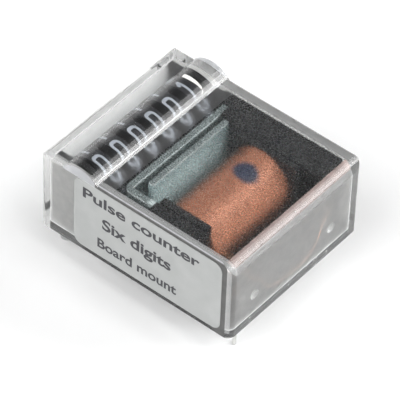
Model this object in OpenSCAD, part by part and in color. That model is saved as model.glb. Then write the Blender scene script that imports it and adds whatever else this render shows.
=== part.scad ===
// Six-digit electromechanical impulse counter for circuit boards.
// Origin: centre of the underside that lies on the board. X runs along the label, Y along the drum, Z is up.

/* [Housing] */
// Length of the housing along the label
body_l = 30; // [26:0.5:40]
// Width of the housing along the drum
body_w = 24.8; // [22:0.2:34]
// Height of the housing without the lens
body_h = 12.2; // [11.6:0.1:16]
// Thickness of the side walls
wall_t = 1.1; // [0.8:0.1:1.6]
// Thickness of the top wall
top_t = 0.9; // [0.6:0.1:1.3]
// Radius of the top edge at the drum end
edge_r = 1.1; // [0.4:0.1:1.8]
// Radius of the top edge at the coil end
coil_edge_r = 1.8; // [1.2:0.1:2.2]
// Radius of the top edges along the long sides
rim_r = 0.35; // [0.1:0.05:0.6]
// Radius of the upright corners
corner_r = 0.9; // [0.4:0.1:1.6]
// Radius of the corners inside the housing
inner_r = 0.5; // [0.2:0.1:1]
// Radius of the top corner inside the coil end
coil_inner_r = 1; // [0.6:0.1:1.2]

/* [Lens] */
// Distance from the drum end of the housing to the foot of the lens
lens_inset = 3.7; // [3.2:0.1:5]
// Width of the lens at its foot
lens_w = 5.3; // [4:0.1:6]
// Height of the lens over the top face
lens_rise = 1.2; // [0.6:0.1:1.8]

/* [Snap pips] */
// Distance of each pip from the side wall
snap_edge = 3.97; // [3.6:0.05:4.4]
// Height of the pips over the chassis floor
snap_up = 2.33; // [1.9:0.05:2.8]
// Radius of a pip
snap_r = 0.75; // [0.4:0.05:0.8]
// How far a pip stands out of the wall
snap_depth = 0.55; // [0.3:0.05:0.6]
// Clearance around a pip in its post
snap_gap = 0.1; // [0.05:0.05:0.3]

/* [Base] */
// Thickness of the base plate
base_t = 0.9; // [0.6:0.1:1.2]
// Clearance between the base plate and the walls
base_gap = 0.05; // [0.02:0.01:0.15]
// Radius of a locating peg
peg_r = 0.95; // [0.6:0.05:1]
// Length of a locating peg under the base
peg_len = 3; // [2:0.1:6]
// Distance of the pegs from the drum end of the housing
peg_inset = 2.2; // [2.2:0.1:5]
// Distance of each peg from the side wall
peg_edge = 1.6; // [1.3:0.1:4]

/* [Terminals] */
// Radius of a solder pin
pin_r = 0.25; // [0.2:0.05:0.4]
// Radius of the shank of a pin inside the base
shank_r = 0.32; // [0.28:0.02:0.4]
// Length of a solder pin under the base
pin_len = 4.7; // [3:0.1:6]
// Distance of the near pin from the coil end of the housing
pin_inset = 1.8; // [1.7:0.1:2.4]
// Distance of the far pin from the coil end of the housing
far_pin_inset = 3.2; // [2.8:0.1:3.6]
// Distance of each pin from the side wall
pin_edge = 2.3; // [2:0.05:2.4]
// Height of the upper end of the pins over the chassis floor
pin_up = 2.8; // [2:0.1:3.4]
// Clearance of the pins in the base
pin_gap = 0.02; // [0.01:0.01:0.05]
// Radius of a solder joint
solder_r = 0.45; // [0.42:0.01:0.46]
// Radius of the coil leads
lead_r = 0.07; // [0.05:0.01:0.1]

/* [Chassis] */
// Thickness of the chassis floor
floor_t = 0.6; // [0.4:0.1:0.8]
// Thickness of the upright plates
plate_t = 0.7; // [0.5:0.05:0.9]
// Clearance between the chassis and the housing
frame_gap = 0.15; // [0.1:0.05:0.3]
// Clearance between the drum and each end plate
drum_end_gap = 0.15; // [0.1:0.05:0.3]
// Clearance between pieces side by side on the drum
side_gap = 0.1; // [0.05:0.01:0.15]
// Thickness of the bridge over the near leg of the yoke
bridge_t = 1.4; // [0.8:0.1:1.6]
// Thickness of the wall beside the near leg of the yoke
near_wall_t = 1.2; // [0.8:0.1:1.4]
// Room between the pole plate and the far wall of the chassis
far_room = 2.73; // [2.4:0.05:3]
// Thickness of the deck over the pole plate
deck_t = 0.7; // [0.5:0.1:0.9]

/* [Number wheels] */
// Room between the outer number wheels and the side walls
drum_room = 1.46; // [1.4:0.02:2]
// Width of the grooves between the rims
groove_w = 1.18; // [1.1:0.02:1.3]
// Clearance between the drum and the chassis floor
drum_floor_gap = 1.05; // [0.9:0.05:1.4]
// Clearance between the gear teeth and the rim
rim_clear = 0.1; // [0.05:0.01:0.2]
// Thickness of the web inside the rim
web_t = 1; // [0.6:0.1:1.4]
// Clearance between the drum and the top wall
drum_gap = 0.35; // [0.2:0.05:0.6]
// Radius of the wheel axle
axle_r = 0.75; // [0.6:0.05:0.9]
// Running clearance of the wheels on the axle
axle_fit = 0.03; // [0.02:0.01:0.06]
// Thickness of the drum washer
washer_t = 0.2; // [0.1:0.02:0.24]
// Thickness of an axle clip
clip_t = 0.22; // [0.15:0.01:0.25]

/* [Transfer train] */
// Clearance between the pinion axle and the rims
train_gap = 0.252; // [0.2:0.01:0.4]
// Height of a tooth over the pitch circle, in modules
tooth_add_share = 0.7; // [0.55:0.01:0.75]
// Depth of a tooth under the pitch circle, in modules
tooth_ded_share = 1.17; // [1.05:0.01:1.2]
// Half of the tooth thickness at the pitch circle, in modules
tooth_half_share = 0.555; // [0.45:0.01:0.58]
// Slope of the tooth flanks
tooth_slope = 20; // [14:1:24]
// Clearance between the locking ring and the pinion teeth
lock_gap = 0.29; // [0.15:0.01:0.5]
// Height of the driver teeth over the locking ring
driver_h = 0.5; // [0.3:0.02:0.6]
// Width of a gear or of a driver
gear_w = 0.53; // [0.4:0.01:0.54]
// Width of a transfer pinion
pinion_w = 1.06; // [0.9:0.02:1.08]
// Radius of the pinion axle
pinion_axle_r = 0.35; // [0.3:0.01:0.38]
// Direction of the pinion axle, down from the drum end
pinion_drop = 45; // [44:0.5:46]

/* [Escapement] */
// How far the escape wheel is smaller in radius than the number wheels
escape_drop = 0.1; // [0.05:0.05:0.4]
// Depth of the notches of the escape wheel
escape_depth = 0.7; // [0.4:0.05:0.9]
// Width of a notch of the escape wheel
escape_notch = 0.5; // [0.4:0.05:0.7]
// Turn of the escape wheel on the units wheel
escape_turn = -11; // [-18:1:18]
// Thickness of the escape wheel
escape_t = 0.6; // [0.4:0.05:0.62]
// Clearance between the pallets and the escape wheel
pallet_gap = 0.2; // [0.15:0.05:0.4]
// Thickness of the pallet plate
pallet_t = 0.5; // [0.35:0.05:0.55]
// Distance between the outer sides of the pallets
pallet_h = 5.2; // [4.4:0.1:5.6]
// Width of a pallet
pallet_w = 1.1; // [0.8:0.1:1.4]

/* [Coil] */
// Clearance between the bobbin and the top wall
coil_top_gap = 0.2; // [0.15:0.05:0.5]
// Height of the rests under the bobbin
coil_rest_h = 0.7; // [0.4:0.05:1]
// How far the flanges stand out of the winding
coil_depth = 0.2; // [0.15:0.05:0.8]
// Thickness of a flange
flange_t = 0.8; // [0.6:0.05:0.9]
// How far the square flange at the label end is narrower than the round one, on each side
square_drop = 0.85; // [0.6:0.05:1.2]
// Thickness of the square flange
square_t = 0.95; // [0.8:0.05:1.2]
// Distance between the square flange at the far end and the pole plate's end
far_short = 0.45; // [0.35:0.05:0.8]
// How far the bridge passes the square flange
bridge_over = 0.3; // [0.1:0.05:0.5]
// Radius of the bobbin tube
tube_r = 2; // [1.8:0.05:2.4]
// Radius of the core
core_r = 1.5; // [1.2:0.05:1.6]
// Radius of the riveted ends of the core
tenon_r = 1; // [0.7:0.05:1.1]
// Clearance of the core in the bobbin
core_gap = 0.03; // [0.01:0.01:0.06]

/* [Magnet frame] */
// Thickness of the yoke strip
yoke_t = 0.8; // [0.6:0.05:0.9]
// Clearance between the drum and the yoke
yoke_gap = 0.35; // [0.3:0.05:0.6]
// Distance between the long leg of the yoke and the bobbin flanges
yoke_reach = 4.15; // [4.1:0.05:4.6]
// Inner bend radius of the yoke
yoke_bend = 0.3; // [0.2:0.05:0.5]
// Clearance between the yoke and the top wall
yoke_top_gap = 0.4; // [0.3:0.05:0.9]
// Where the upper edge of the short leg steps down, from the coil axis
yoke_step = 3.95; // [3.8:0.05:4.2]
// Overhang of the flat iron past the core
iron_over = 2.1; // [1.4:0.1:2.6]
// Thickness of the pole plate
pole_t = 0.8; // [0.6:0.05:0.9]
// Clearance between the pole plate and the deck
pole_top_gap = 0.25; // [0.15:0.05:0.6]
// Height of the lower edge of the pole plate over the chassis floor
pole_up = 1.7; // [1.4:0.1:2.6]
// Play of the flat iron on the riveted ends
rivet_gap = 0.02; // [0.01:0.01:0.05]

/* [Armature] */
// Thickness of the armature
arm_t = 0.7; // [0.5:0.05:0.75]
// Gap between the yoke and the armature
arm_gap = 0.8; // [0.7:0.05:0.9]
// Distance between the near leg of the yoke and the armature
arm_room = 2.1; // [1.8:0.05:2.6]
// How far the pole plate passes the end of the armature
arm_short = 0.27; // [0.2:0.01:0.5]
// Clearance between the armature and the top wall
arm_top_gap = 0.6; // [0.5:0.05:1]
// Air gap between the armature and the pole plate
air_gap = 0.65; // [0.6:0.01:0.8]
// Height of the pivot over the chassis floor
pivot_up = 1; // [0.95:0.05:1.3]
// Radius of the pivot pin
pivot_r = 0.4; // [0.3:0.05:0.45]
// Running clearance of the armature on the pivot
pivot_fit = 0.03; // [0.02:0.01:0.06]
// Radius of the rolled edge around the pivot
barrel_r = 0.8; // [0.6:0.05:0.85]
// Length left free for the return spring
spring_room = 2.9; // [2.6:0.1:3.4]

/* [Return spring] */
// Radius of the spring wire
wire_r = 0.11; // [0.08:0.01:0.12]
// Mean radius of the spring
spring_r = 0.66; // [0.6:0.02:0.7]
// Turns of the spring
spring_turns = 4; // [3:1:4]
// Rise of the spring over one turn
spring_rise = 0.66; // [0.64:0.01:0.7]
// Length of the leg on the armature
spring_leg = 2.6; // [1.6:0.1:3]

/* [Label] */
// Distance of the label from the drum end of the housing
label_start = 5.5; // [4.8:0.1:8]
// Distance of the label from the top face
label_drop = 0.35; // [0.35:0.05:2]
// Distance of the label from the coil end of the housing
label_inset = 1.5; // [1.2:0.1:3]
// Thickness of the label
label_t = 0.08; // [0.06:0.01:0.12]
// Radius of the corners of the label
label_r = 1.3; // [0.5:0.1:2]
// Distance of the label from the board
label_z = 0.7; // [0.2:0.05:1.2]

/* [Hidden] */
$fn = 72;
spare = 1;
wheel_count = 6;
gear_teeth = 20;
pinion_teeth = 8;
digits = 10;
full_turn = 360;
tube_sides = 8;
in_x = body_l / 2 - wall_t;
in_y = body_w / 2 - wall_t;
in_z = body_h - top_t;
frame_x = in_x - frame_gap;
frame_y = in_y - frame_gap;
frame_top = in_z - frame_gap;
floor_z = base_t + floor_t;
lens_x = lens_inset + lens_w / 2 - body_l / 2;
lens_r = (pow(lens_w / 2, 2) + pow(lens_rise, 2)) / (2 * lens_rise);
wheel_r = (in_z - drum_gap - floor_z - drum_floor_gap) / 2;
drum_x = lens_x;
drum_z = in_z - drum_gap - wheel_r;
drum_end = in_y - drum_room;
wheel_pitch = 2 * drum_end / wheel_count;
rim_w = wheel_pitch - groove_w;
hub_r = axle_r * 2;
hub_half = rim_w / 2 + gear_w;
escape_r = wheel_r - escape_drop;
escape_y0 = drum_end - groove_w / 2 + side_gap;
far_plate_y = escape_y0 + escape_t + drum_end_gap;
near_plate_y = -far_plate_y;
end_plate_x1 = drum_x + wheel_r - frame_gap;
axle_end = far_plate_y + plate_t + clip_t + core_gap;
train_dist = wheel_r + train_gap + pinion_axle_r;
gear_module = 2 * train_dist / (gear_teeth + pinion_teeth);
gear_pitch_r = gear_module * gear_teeth / 2;
pinion_pitch_r = gear_module * pinion_teeth / 2;
tooth_add = gear_module * tooth_add_share;
tooth_ded = gear_module * tooth_ded_share;
tooth_half = gear_module * tooth_half_share;
rim_t = wheel_r - gear_pitch_r - tooth_add - rim_clear;
lock_r = gear_pitch_r - tooth_add - lock_gap;
driver_r = lock_r + driver_h;
pinion_dir = full_turn / 2 - pinion_drop;
pinion_x = drum_x + train_dist * cos(pinion_dir);
pinion_z = drum_z - train_dist * sin(pinion_dir);
digit_step = full_turn / digits;
gear_step = full_turn / gear_teeth;
tooth_step = full_turn / pinion_teeth;
flange_r = (in_z - coil_top_gap - floor_z - coil_rest_h) / 2;
coil_r = flange_r - coil_depth;
square_half = flange_r - square_drop;
yoke_x0 = drum_x + wheel_r + yoke_gap;
yoke_x1 = yoke_x0 + yoke_t;
coil_x = yoke_x0 + yoke_reach + flange_r;
coil_z = floor_z + coil_rest_h + flange_r;
leg_y0 = near_wall_t + frame_gap - frame_y;
leg_y1 = leg_y0 + yoke_t;
square_y0 = leg_y1 + frame_gap;
coil_y0 = square_y0 + square_t;
pole_y1 = frame_y - plate_t - far_room;
pole_y0 = pole_y1 - pole_t;
far_flange_y1 = pole_y0 - rivet_gap;
coil_y1 = far_flange_y1 - flange_t;
yoke_top = in_z - yoke_top_gap;
yoke_end = escape_y0 - frame_gap;
iron_x1 = coil_x + iron_over;
step_x = coil_x - yoke_step;
bridge_x0 = step_x + frame_gap;
bridge_x1 = coil_x + square_half + bridge_over;
bridge_z0 = frame_top - bridge_t;
step_top = bridge_z0 - frame_gap;
pole_top = frame_top - deck_t - pole_top_gap;
arm_x0 = yoke_x1 + arm_gap;
arm_x1 = arm_x0 + arm_t;
arm_y0 = leg_y1 + arm_room;
arm_end = pole_y1 - arm_short;
arm_top = in_z - arm_top_gap;
pole_x0 = arm_x1 + air_gap;
far_half = coil_x - pole_x0 - far_short;
deck_x0 = pole_x0 + frame_gap;
deck_x1 = in_x - coil_inner_r;
pivot_x = arm_x0 + arm_t / 4;
pivot_z = floor_z + pivot_up;
barrel_y0 = arm_y0 + spring_room;
fork_x0 = arm_x0 - plate_t * 2 / 3;
fork_y0 = arm_end + rivet_gap;
fork_y1 = escape_y0 + pallet_t;
fork_h = pallet_h - 2 * pallet_w;
fork_z0 = drum_z - fork_h / 2;
lug_z1 = pivot_z + barrel_r + frame_gap;
lug_x0 = yoke_x1 + frame_gap;
lug_x1 = pivot_x + barrel_r;
lug_t = plate_t + frame_gap;
far_lug_y0 = pole_y1 - frame_gap;
near_lug_y1 = arm_y0 - frame_gap;
snap_y = in_y - snap_edge;
snap_z = floor_z + snap_up;
post_half = snap_r + snap_gap + plate_t / 2;
post_x0 = frame_x - plate_t - snap_depth;
post_top = snap_z + snap_r + plate_t;
pin_x = body_l / 2 - pin_inset;
far_pin_x = body_l / 2 - far_pin_inset;
pin_y = in_y - pin_edge;
pin_top = floor_z + pin_up;
peg_x = peg_inset - body_l / 2;
peg_y = in_y - peg_edge;
label_x1 = body_l / 2 - label_inset;
label_l = body_l - label_inset - label_start;
label_h = body_h - label_drop - label_z;
black = [0.08, 0.08, 0.085];
zinc = [0.66, 0.7, 0.72];
bright_steel = [0.75, 0.76, 0.78];
tin = [0.78, 0.78, 0.76];
copper = [0.72, 0.4, 0.25];

// Place of a number wheel along the drum, the units wheel being number 0
function wheel_y(i) = drum_end - wheel_pitch * (i + 1 / 2);

// Turn that a number wheel still makes before its driver teeth meet the pinion
function to_go(shown) = full_turn - digit_step * (shown + 1 / 2);

// Direction of the first long tooth of the pinion driven by a wheel that shows a digit
function pinion_phase(shown) =
  pinion_dir + full_turn / 2 - tooth_step + to_go(shown) * gear_teeth / pinion_teeth / digits;

// Direction of the first tooth of the gear that meshes with that pinion
function gear_phase(shown) =
  pinion_dir + gear_step / 2
  - (pinion_phase(shown) - pinion_dir - full_turn / 2) * pinion_teeth / gear_teeth;

// Place of a terminal along the housing, near side -1 or far side 1
function terminal_x(s) = s < 0 ? pin_x : far_pin_x;

// Digit that a wheel shows in the modelled position
function shown_digit(i) = i == 0 ? 1 : 0;

// Outline of straight-sided teeth on a pitch circle
function tooth_ring(teeth, pitch_r, phase) = [
  for (i = [0 : teeth - 1], side = [-1, 1])
    let (
      mid = phase + i * full_turn / teeth,
      root_half = tooth_half + tooth_ded * tan(tooth_slope),
      tip_half = tooth_half - tooth_add * tan(tooth_slope),
      root_r = pitch_r - tooth_ded,
      tip_r = pitch_r + tooth_add,
      root_a = mid + side * asin(root_half / root_r),
      tip_a = mid + side * asin(tip_half / tip_r)
    )
    each side < 0
      ? [[root_r * cos(root_a), root_r * sin(root_a)], [tip_r * cos(tip_a), tip_r * sin(tip_a)]]
      : [[tip_r * cos(tip_a), tip_r * sin(tip_a)], [root_r * cos(root_a), root_r * sin(root_a)]]
];

// Unit vector
function unit(v) = v / norm(v);

// Direction of a route at one of its points
function heading(route, i) =
  unit(route[min(i + 1, len(route) - 1)] - route[max(i - 1, 0)]);

// Side vectors carried along a route without twist
function sides_along(route, first) = [
  for (
    i = 0, n = unit(cross(heading(route, 0), first));
    i < len(route);
    i = i + 1, n = i < len(route) ? unit(n - (n * heading(route, i)) * heading(route, i)) : n
  ) n
];

// Corner points of a tube along a route
function tube_points(route, r, first) =
  let (sides = sides_along(route, first))
  [
    for (i = [0 : len(route) - 1], k = [0 : tube_sides - 1])
      let (a = k * full_turn / tube_sides)
      route[i] + r * (cos(a) * sides[i] + sin(a) * cross(heading(route, i), sides[i]))
  ];

// Faces of that tube with both ends closed
function tube_faces(count) = concat(
  [[for (k = [0 : tube_sides - 1]) k]],
  [
    for (i = [0 : count - 2], k = [0 : tube_sides - 1])
      let (n = (k + 1) % tube_sides)
      [i * tube_sides + k, (i + 1) * tube_sides + k, (i + 1) * tube_sides + n, i * tube_sides + n]
  ],
  [[for (k = [tube_sides - 1 : -1 : 0]) (count - 1) * tube_sides + k]]
);

// Smooth route through given points
function spline(p, steps) = concat(
  [
    for (i = [0 : len(p) - 2], s = [0 : steps - 1])
      let (
        a = p[max(i - 1, 0)], b = p[i], c = p[i + 1], d = p[min(i + 2, len(p) - 1)], t = s / steps
      )
      b + t * (c - a) / 2
      + t * t * (2 * a - 5 * b + 4 * c - d) / 2
      + t * t * t * (3 * b - a - 3 * c + d) / 2
  ],
  [p[len(p) - 1]]
);

// Route of the return spring: leg to the floor, turns around the pivot pin, leg up the armature
spring_steps = 16;
spring_tilt = 30;
spring_angle = spring_turns * full_turn - (full_turn / 4 - spring_tilt);
spring_y0 = barrel_y0 - frame_gap - wire_r;
function spring_point(t) =
  let (a = spring_tilt - t * spring_angle)
  [
    pivot_x + spring_r * sin(a),
    spring_y0 - t * spring_angle / full_turn * spring_rise,
    pivot_z + spring_r * cos(a)
  ];
spring_count = spring_turns * spring_steps;
spring_coil = [for (i = [0 : spring_count]) spring_point(i / spring_count)];
spring_foot = (spring_coil[0][2] - floor_z - wire_r - rivet_gap) / sin(spring_tilt);
foot_way = [cos(spring_tilt), 0, -sin(spring_tilt)];
spring_out = spring_coil[spring_count];
spring_route = concat(
  [spring_coil[0] + spring_foot * foot_way, spring_coil[0] + spring_foot / 2 * foot_way],
  spring_coil,
  [spring_out + [0, 0, spring_leg / 2], spring_out + [0, 0, spring_leg]]
);
spring_gap = min([
  for (i = [0 : spring_count - spring_steps / 2], j = [i + spring_steps / 2 : spring_count])
    norm(spring_coil[i] - spring_coil[j]) - 2 * wire_r
]);
echo(spring_gap = spring_gap);

// Routes of the coil leads
lead_wall_x = in_x - lead_r - rivet_gap;
lead_out_r = coil_r + rivet_gap;
lead_out_x = coil_x + lead_out_r;
lead_far_route = spline([
  [lead_out_x, coil_y0 + flange_t, coil_z],
  [lead_out_x + (pin_x - lead_out_x) / 2, coil_y0 + flange_t, coil_z + lead_r],
  [post_x0 + plate_t / 2, coil_y0 + flange_t, post_top + plate_t],
  [lead_wall_x - plate_t / 4, -snap_y + post_half + 2 * frame_gap, post_top - plate_t / 2],
  [lead_wall_x, -snap_y * 2 / 3, snap_z - plate_t],
  [lead_wall_x, -snap_y * 2 / 5, floor_z + plate_t],
  [lead_wall_x, 0, floor_z + plate_t / 3],
  [lead_wall_x, snap_y / 3, floor_z + plate_t / 2],
  [lead_wall_x, snap_y * 3 / 5, floor_z + 2 * plate_t],
  [lead_wall_x, snap_y * 3 / 4, post_top],
  [pin_x, snap_y, post_top + plate_t],
  [far_pin_x, pin_y - lead_r, post_top + plate_t / 3],
  [far_pin_x, pin_y, pin_top + solder_r / 2 + rivet_gap]
], 4);
near_joint = [pin_x - solder_r - rivet_gap, -pin_y, pin_top - solder_r / 2];
lead_near_route = spline([
  [coil_x + lead_out_r * cos(tooth_step / 2), coil_y0 + flange_t, coil_z - lead_out_r * sin(tooth_step / 2)],
  [coil_x + flange_r + solder_r, coil_y0, coil_z - coil_r / 2],
  [near_joint[0] - 2 * solder_r, -pin_y + solder_r / 2, pin_top],
  near_joint
], 5);

// Carries a flat drawing (X right, Z down) into the drum's direction, from one place to the next
module along_y(y0, y1) {
  translate([0, y0, 0])
    rotate([-90, 0, 0])
      linear_extrude(y1 - y0)
        children();
}

// Round rod along the drum
module rod_y(x, z, r, y0, y1) {
  translate([x, y0, z])
    rotate([-90, 0, 0])
      cylinder(r = r, h = y1 - y0);
}

// Box between two corners
module span(p, q) {
  translate(p)
    cube(q - p);
}

// Flat rectangle with round corners, centred
module round_rect(l, w, r) {
  square([l - 2 * r, w], center = true);
  square([l, w - 2 * r], center = true);
  for (sx = [-1, 1], sy = [-1, 1])
    translate([sx * (l / 2 - r), sy * (w / 2 - r)])
      circle(r);
}

// Flat side view with round upper corners, left and right, standing on the zero line
module round_top(l, h, r0, r1) {
  translate([-l / 2, 0])
    square([l / 2, h - r0]);
  square([l / 2, h - r1]);
  translate([r0 - l / 2, 0])
    square([l - r0 - r1, h]);
  translate([r0 - l / 2, h - r0])
    circle(r0);
  translate([l / 2 - r1, h - r1])
    circle(r1);
}

// Side view drawn over the length, carried across the width
module across_width(w) {
  translate([0, w / 2, 0])
    rotate([90, 0, 0])
      linear_extrude(w)
        children();
}

// Side view drawn over the width, carried along the length
module along_length(l) {
  translate([-l / 2, 0, 0])
    rotate([90, 0, 90])
      linear_extrude(l)
        children();
}

module lens_section() {
  intersection() {
    translate([lens_x, body_h + lens_rise - lens_r])
      circle(lens_r);
    translate([lens_x - lens_r, body_h - top_t / 2])
      square([2 * lens_r, top_t / 2 + lens_rise + spare]);
  }
}

module cover() {
  color([0.85, 0.88, 0.88, 0.35])
  union() {
    difference() {
      union() {
        intersection() {
          across_width(body_w) round_top(body_l, body_h, edge_r, coil_edge_r);
          along_length(body_l) round_top(body_w, body_h, rim_r, rim_r);
          linear_extrude(body_h) round_rect(body_l, body_w, corner_r);
        }
        across_width(body_w) lens_section();
      }
      intersection() {
        translate([0, 0, -spare])
          across_width(2 * in_y)
            round_top(2 * in_x, in_z + spare, inner_r, coil_inner_r);
        translate([0, 0, -spare])
          linear_extrude(in_z + 2 * spare)
            round_rect(2 * in_x, 2 * in_y, inner_r);
      }
    }
    for (s = [-1, 1])
      translate([in_x + snap_r - snap_depth, s * snap_y, snap_z])
        sphere(snap_r);
  }
}

module base_plate() {
  color([0.2, 0.21, 0.22])
  difference() {
    union() {
      linear_extrude(base_t)
        round_rect(2 * (in_x - base_gap), 2 * (in_y - base_gap), inner_r);
      for (s = [-1, 1])
        translate([peg_x, s * peg_y, -peg_len])
          cylinder(r = peg_r, h = peg_len + base_t / 2);
    }
    for (s = [-1, 1])
      translate([terminal_x(s), s * pin_y, -spare])
        cylinder(r = shank_r + pin_gap, h = base_t + 2 * spare);
  }
}

module end_plate(y0) {
  span([-frame_x, y0, floor_z - floor_t / 2], [end_plate_x1, y0 + plate_t, frame_top]);
}

module snap_post(s) {
  difference() {
    span(
      [post_x0, s * snap_y - post_half, floor_z - floor_t / 2],
      [frame_x, s * snap_y + post_half, post_top]
    );
    translate([post_x0 - spare, s * snap_y, snap_z])
      rotate([0, 90, 0])
        cylinder(r = snap_r + snap_gap, h = plate_t + snap_depth + 2 * spare);
  }
}

module pivot_lug(y0) {
  span([lug_x0, y0, floor_z - floor_t / 2], [lug_x1, y0 + lug_t, lug_z1]);
}

module chassis() {
  color(black)
  difference() {
    union() {
      translate([0, 0, base_t])
        linear_extrude(floor_t)
          round_rect(2 * frame_x, 2 * frame_y, inner_r);
      end_plate(far_plate_y);
      end_plate(near_plate_y - plate_t);
      span([bridge_x0, -frame_y, floor_z - floor_t / 2], [bridge_x1, leg_y0 - frame_gap, frame_top]);
      span([bridge_x0, -frame_y, bridge_z0], [bridge_x1, leg_y1 - frame_gap, frame_top]);
      span([end_plate_x1 - plate_t, frame_y - plate_t, floor_z - floor_t / 2], [deck_x1, frame_y, frame_top]);
      span([deck_x0, far_flange_y1 + frame_gap, frame_top - deck_t], [deck_x1, frame_y, frame_top]);
      span([lug_x0, arm_end + 2 * frame_gap, frame_top - deck_t], [deck_x0 + plate_t, frame_y, frame_top]);
      span(
        [end_plate_x1 - plate_t, yoke_end + frame_gap, frame_top - deck_t],
        [lug_x0 + plate_t, frame_y, frame_top]
      );
      span(
        [coil_x - iron_over, square_y0, floor_z - floor_t / 2],
        [iron_x1, coil_y0, floor_z + coil_rest_h - core_gap]
      );
      span(
        [coil_x - iron_over, coil_y1, floor_z - floor_t / 2],
        [iron_x1, far_flange_y1, floor_z + coil_rest_h - core_gap]
      );
      pivot_lug(far_lug_y0);
      pivot_lug(near_lug_y1 - lug_t);
      snap_post(-1);
      snap_post(1);
    }
    rod_y(drum_x, drum_z, axle_r + rivet_gap, -axle_end - spare, axle_end + spare);
    rod_y(pinion_x, pinion_z, pinion_axle_r + rivet_gap, -axle_end - spare, axle_end + spare);
    rod_y(pivot_x, pivot_z, pivot_r + rivet_gap, near_lug_y1 - lug_t - spare, far_lug_y0 + lug_t + spare);
    for (s = [-1, 1])
      translate([terminal_x(s), s * pin_y, 0])
        cylinder(r = shank_r + pin_gap, h = floor_z + spare);
  }
}

module label() {
  color([0.82, 0.83, 0.82])
  translate([label_x1 - label_l / 2, -body_w / 2, label_z + label_h / 2])
    rotate([90, 0, 0])
      linear_extrude(label_t)
        round_rect(label_l, label_h, label_r);
}

module wheel_axle() {
  color(bright_steel)
  rod_y(drum_x, drum_z, axle_r, -axle_end, axle_end);
}

module pinion_axle() {
  color(bright_steel)
  rod_y(pinion_x, pinion_z, pinion_axle_r, near_plate_y - plate_t, far_plate_y + plate_t);
}

module axle_clip(y0) {
  difference() {
    rod_y(drum_x, drum_z, 2 * axle_r, y0, y0 + clip_t);
    rod_y(drum_x, drum_z, axle_r + rivet_gap, y0 - spare, y0 + clip_t + spare);
  }
}

module axle_clips() {
  color(bright_steel)
  union() {
    axle_clip(far_plate_y + plate_t + core_gap / 2);
    axle_clip(near_plate_y - plate_t - core_gap / 2 - clip_t);
  }
}

module drum_washer() {
  color(bright_steel)
  difference() {
    rod_y(drum_x, drum_z, hub_r, near_plate_y + core_gap, near_plate_y + core_gap + washer_t);
    rod_y(drum_x, drum_z, axle_r + rivet_gap, near_plate_y - spare, near_plate_y + spare);
  }
}

module bobbin() {
  color(black)
  difference() {
    union() {
      span(
        [coil_x - square_half, square_y0, coil_z - flange_r],
        [coil_x + square_half, coil_y0, coil_z + flange_r]
      );
      span(
        [coil_x - far_half, coil_y1, coil_z - flange_r],
        [coil_x + far_half, far_flange_y1, coil_z + flange_r]
      );
      rod_y(coil_x, coil_z, tube_r, coil_y0 - square_t / 2, coil_y1 + flange_t / 2);
    }
    rod_y(coil_x, coil_z, core_r + core_gap, square_y0 - spare, far_flange_y1 + spare);
  }
}

module coil_winding() {
  color(copper)
  difference() {
    rod_y(coil_x, coil_z, coil_r, coil_y0 + rivet_gap, coil_y1 - rivet_gap);
    rod_y(coil_x, coil_z, tube_r + rivet_gap, coil_y0 - spare, coil_y1 + spare);
  }
}

module core() {
  color(zinc)
  union() {
    rod_y(coil_x, coil_z, core_r, leg_y1, pole_y0);
    rod_y(coil_x, coil_z, tenon_r, leg_y0, pole_y1);
  }
}

module yoke_plan() {
  bend_r = yoke_bend + yoke_t;
  translate([yoke_x0, leg_y0 + bend_r])
    square([yoke_t, yoke_end - leg_y0 - bend_r]);
  translate([yoke_x0 + bend_r, leg_y0])
    square([iron_x1 - yoke_x0 - bend_r, yoke_t]);
  intersection() {
    translate([yoke_x0, leg_y0])
      square(bend_r);
    translate([yoke_x0 + bend_r, leg_y0 + bend_r])
      difference() {
        circle(bend_r);
        circle(yoke_bend);
      }
  }
}

module yoke() {
  color(zinc)
  difference() {
    translate([0, 0, floor_z])
      linear_extrude(yoke_top - floor_z)
        yoke_plan();
    span([step_x, leg_y0 - spare, step_top], [iron_x1 + spare, leg_y1 + spare, yoke_top + spare]);
    rod_y(coil_x, coil_z, tenon_r + rivet_gap, leg_y0 - spare, leg_y1 + spare);
  }
}

module pole_plate() {
  color(zinc)
  difference() {
    span([pole_x0, pole_y0, floor_z + pole_up], [iron_x1, pole_y1, pole_top]);
    rod_y(coil_x, coil_z, tenon_r + rivet_gap, pole_y0 - spare, pole_y1 + spare);
  }
}

module pivot_pin() {
  color(bright_steel)
  rod_y(pivot_x, pivot_z, pivot_r, near_lug_y1 - lug_t, far_lug_y0 + lug_t);
}

module return_spring() {
  color(bright_steel)
  polyhedron(
    points = tube_points(spring_route, wire_r, [0, 1, 0]),
    faces = tube_faces(len(spring_route)),
    convexity = 10
  );
}

module terminal(s) {
  color(tin)
  translate([terminal_x(s), s * pin_y, pin_r - pin_len])
    union() {
      cylinder(r = pin_r, h = pin_len - pin_r);
      sphere(pin_r);
      translate([0, 0, pin_len - pin_r])
        cylinder(r = shank_r, h = pin_top);
    }
}

module terminal_near() {
  terminal(-1);
}

module terminal_far() {
  terminal(1);
}

module solder(s) {
  color(tin)
  translate([terminal_x(s), s * pin_y, pin_top - solder_r / 2])
    difference() {
      sphere(solder_r);
      translate([0, 0, -solder_r - spare])
        cylinder(r = shank_r + pin_gap / 2, h = 3 * solder_r / 2 + spare);
    }
}

module solder_near() {
  solder(-1);
}

module solder_far() {
  solder(1);
}

module lead_near() {
  color(copper)
  polyhedron(
    points = tube_points(lead_near_route, lead_r, [0, 0, 1]),
    faces = tube_faces(len(lead_near_route)),
    convexity = 6
  );
}

module lead_far() {
  color(copper)
  polyhedron(
    points = tube_points(lead_far_route, lead_r, [0, 0, 1]),
    faces = tube_faces(len(lead_far_route)),
    convexity = 6
  );
}

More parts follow.
